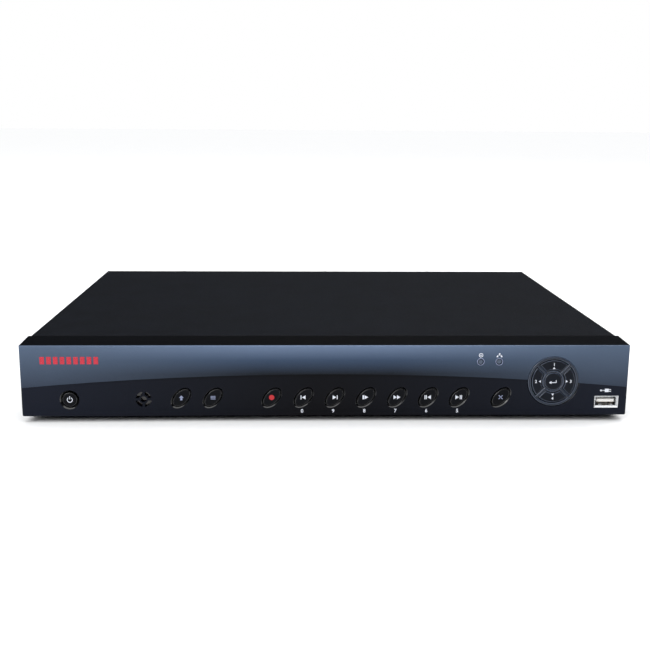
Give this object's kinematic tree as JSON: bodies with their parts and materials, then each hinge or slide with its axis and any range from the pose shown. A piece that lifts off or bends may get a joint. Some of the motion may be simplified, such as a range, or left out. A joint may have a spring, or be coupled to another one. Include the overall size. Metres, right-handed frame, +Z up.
{
  "type": "video recorder",
  "caption": "Slim desktop security video recorder: sheet steel case, moulded front with sprung keys, a direction pad and a USB socket, drive and boards inside, sockets at the rear.",
  "frame": {"origin": "on the ground under the middle of the overall width and depth, rear sockets included", "axes": "+X to the right seen from the front, +Y to the rear, +Z up; the front faces -Y"},
  "size_m": [0.375, 0.2964, 0.0495],
  "materials": {
    "powder_coat": "black textured powder coat",
    "zinc_sheet": "zinc plated sheet",
    "front_black": "satin black moulding",
    "band_blue": "glossy blue-grey moulding",
    "key_black": "black moulded keys",
    "rubber_black": "moulded rubber",
    "screw_steel": "plated steel screws",
    "dark_window": "smoked window",
    "clear_pipe": "clear light pipe",
    "board_green": "solder-masked board",
    "part_black": "black moulded component",
    "bright_metal": "nickel plated shell",
    "white_insulator": "white moulded insulator",
    "cast_aluminium": "cast aluminium",
    "disc_mirror": "polished discs",
    "can_sleeve": "sleeved capacitors",
    "lead_grey": "ribbon lead",
    "lead_red": "drive lead",
    "socket_blue": "blue moulded socket",
    "terminal_green": "green terminal block"
  },
  "bodies": {
    "case": {"base_tray": "zinc_sheet", "rear_panel": "powder_coat", "top_cover": "powder_coat", "front_bezel": "front_black", "fascia_band": "band_blue", "direction_ring": "front_black", "rubber_feet": "rubber_black", "case_screws": "screw_steel", "receiver_window": "dark_window", "light_pipes": "clear_pipe", "key_board": "board_green", "key_switches": "part_black", "indicator_leds": "clear_pipe", "infrared_receiver": "part_black", "front_usb_shell": "bright_metal", "front_usb_tongue": "white_insulator", "main_board": "board_green", "board_screws": "screw_steel", "heat_sink": "cast_aluminium", "circuit_chips": "part_black", "power_capacitors": "can_sleeve", "power_coils": "part_black", "coin_cell": "bright_metal", "cell_holder": "part_black", "fan_frame": "part_black", "drive_case": "cast_aluminium", "drive_cover": "cast_aluminium", "drive_screws": "screw_steel", "video_sockets": "bright_metal", "video_insulators": "part_black", "audio_sockets": "bright_metal", "monitor_socket": "socket_blue", "digital_video_socket": "bright_metal", "network_socket": "bright_metal", "rear_usb_socket": "bright_metal", "terminal_block": "terminal_green", "power_socket": "part_black", "rocker_housing": "part_black", "key_ribbon": "lead_grey", "drive_cable": "lead_red"},
    "power_button_body": {"power_button": "key_black"},
    "shift_button_body": {"shift_button": "key_black"},
    "function_button_body": {"function_button": "key_black"},
    "record_button_body": {"record_button": "key_black"},
    "previous_button_body": {"previous_button": "key_black"},
    "next_button_body": {"next_button": "key_black"},
    "slow_button_body": {"slow_button": "key_black"},
    "fast_button_body": {"fast_button": "key_black"},
    "reverse_button_body": {"reverse_button": "key_black"},
    "play_button_body": {"play_button": "key_black"},
    "escape_button_body": {"escape_button": "key_black"},
    "up_key_body": {"up_key": "key_black"},
    "left_key_body": {"left_key": "key_black"},
    "right_key_body": {"right_key": "key_black"},
    "down_key_body": {"down_key": "key_black"},
    "enter_button_body": {"enter_button": "key_black"},
    "rotor_body": {"fan_rotor": "part_black"},
    "discs_body": {"drive_platters": "disc_mirror"},
    "arm_body": {"drive_arm": "cast_aluminium"},
    "rocker_body": {"power_rocker": "key_black"}
  },
  "joints": [
    {"name": "power_button_press", "type": "slide", "parent": "case", "child": "power_button_body", "axis": [0, 1, 0], "range_m": [0, 0.0005], "stiffness_N_per_m": 400, "springref_m": -0.002},
    {"name": "shift_button_press", "type": "slide", "parent": "case", "child": "shift_button_body", "axis": [0, 1, 0], "range_m": [0, 0.0005], "stiffness_N_per_m": 400, "springref_m": -0.002},
    {"name": "function_button_press", "type": "slide", "parent": "case", "child": "function_button_body", "axis": [0, 1, 0], "range_m": [0, 0.0005], "stiffness_N_per_m": 400, "springref_m": -0.002},
    {"name": "record_button_press", "type": "slide", "parent": "case", "child": "record_button_body", "axis": [0, 1, 0], "range_m": [0, 0.0005], "stiffness_N_per_m": 400, "springref_m": -0.002},
    {"name": "previous_button_press", "type": "slide", "parent": "case", "child": "previous_button_body", "axis": [0, 1, 0], "range_m": [0, 0.0005], "stiffness_N_per_m": 400, "springref_m": -0.002},
    {"name": "next_button_press", "type": "slide", "parent": "case", "child": "next_button_body", "axis": [0, 1, 0], "range_m": [0, 0.0005], "stiffness_N_per_m": 400, "springref_m": -0.002},
    {"name": "slow_button_press", "type": "slide", "parent": "case", "child": "slow_button_body", "axis": [0, 1, 0], "range_m": [0, 0.0005], "stiffness_N_per_m": 400, "springref_m": -0.002},
    {"name": "fast_button_press", "type": "slide", "parent": "case", "child": "fast_button_body", "axis": [0, 1, 0], "range_m": [0, 0.0005], "stiffness_N_per_m": 400, "springref_m": -0.002},
    {"name": "reverse_button_press", "type": "slide", "parent": "case", "child": "reverse_button_body", "axis": [0, 1, 0], "range_m": [0, 0.0005], "stiffness_N_per_m": 400, "springref_m": -0.002},
    {"name": "play_button_press", "type": "slide", "parent": "case", "child": "play_button_body", "axis": [0, 1, 0], "range_m": [0, 0.0005], "stiffness_N_per_m": 400, "springref_m": -0.002},
    {"name": "escape_button_press", "type": "slide", "parent": "case", "child": "escape_button_body", "axis": [0, 1, 0], "range_m": [0, 0.0005], "stiffness_N_per_m": 400, "springref_m": -0.002},
    {"name": "up_key_press", "type": "slide", "parent": "case", "child": "up_key_body", "axis": [0, 1, 0], "range_m": [0, 0.0005], "stiffness_N_per_m": 400, "springref_m": -0.002},
    {"name": "left_key_press", "type": "slide", "parent": "case", "child": "left_key_body", "axis": [0, 1, 0], "range_m": [0, 0.0005], "stiffness_N_per_m": 400, "springref_m": -0.002},
    {"name": "right_key_press", "type": "slide", "parent": "case", "child": "right_key_body", "axis": [0, 1, 0], "range_m": [0, 0.0005], "stiffness_N_per_m": 400, "springref_m": -0.002},
    {"name": "down_key_press", "type": "slide", "parent": "case", "child": "down_key_body", "axis": [0, 1, 0], "range_m": [0, 0.0005], "stiffness_N_per_m": 400, "springref_m": -0.002},
    {"name": "enter_button_press", "type": "slide", "parent": "case", "child": "enter_button_body", "axis": [0, 1, 0], "range_m": [0, 0.0005], "stiffness_N_per_m": 400, "springref_m": -0.002},
    {"name": "fan_spin", "type": "hinge", "parent": "case", "child": "rotor_body", "pos_m": [-0.15515, 0.12975, 0.0265], "axis": [0, 1, 0], "continuous": true},
    {"name": "disc_spin", "type": "hinge", "parent": "case", "child": "discs_body", "pos_m": [-0.1182, -0.06345, 0.017], "axis": [0, 0, 1], "continuous": true},
    {"name": "arm_swing", "type": "hinge", "parent": "case", "child": "arm_body", "pos_m": [-0.0922, -0.00745, 0.017], "axis": [0, 0, 1], "range_deg": [0, 32]},
    {"name": "power_rock", "type": "hinge", "parent": "case", "child": "rocker_body", "pos_m": [-0.116, 0.13225, 0.026], "axis": [0, 0, 1], "range_deg": [0, 24]}
  ]
}
